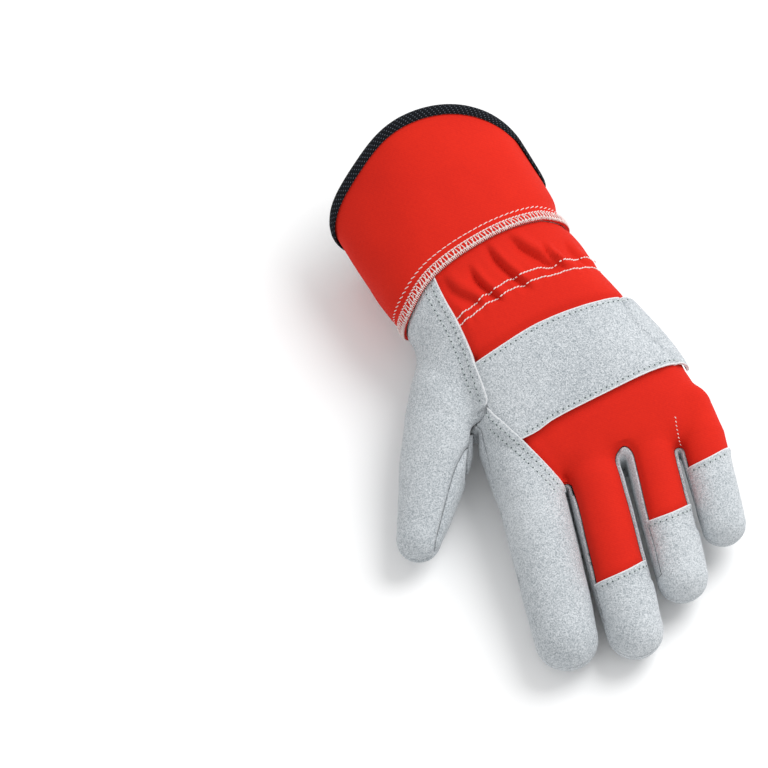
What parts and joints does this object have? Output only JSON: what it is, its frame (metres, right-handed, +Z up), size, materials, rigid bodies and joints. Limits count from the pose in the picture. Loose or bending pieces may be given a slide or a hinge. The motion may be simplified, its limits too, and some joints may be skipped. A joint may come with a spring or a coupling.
{
  "type": "leather work glove",
  "caption": "Left-hand rigger work glove of split leather and red cloth with knuckle strap, fingertip caps, gathered wrist and taped safety cuff.",
  "frame": {"origin": "on the flattened palm under the knuckles, in the plane of the surface that the glove lies on", "axes": "+Z up from the surface through the back of the hand, +Y from the fingertips to the cuff, the thumb on the -X side"},
  "size_m": [0.1565, 0.2675, 0.0695],
  "materials": {
    "leather": "matt split suede, light grey",
    "red_cloth": "fine red cotton drill",
    "black_tape": "woven black binding tape with a pale grey fleck",
    "thread": "off-white sewing thread"
  },
  "bodies": {
    "root": {"palm": "leather", "middle_ring_front": "leather", "thumb_back": "leather", "thumb_front": "leather", "index_back": "leather", "middle_tip": "leather", "ring_tip": "leather", "little_tip": "leather", "index_middle_gusset": "leather", "middle_ring_gusset": "leather", "ring_little_gusset": "leather", "knuckle_strap": "leather", "pulse_patch": "leather", "hand_back": "red_cloth", "cuff": "red_cloth", "cuff_binding": "black_tape"}
  },
  "joints": []
}
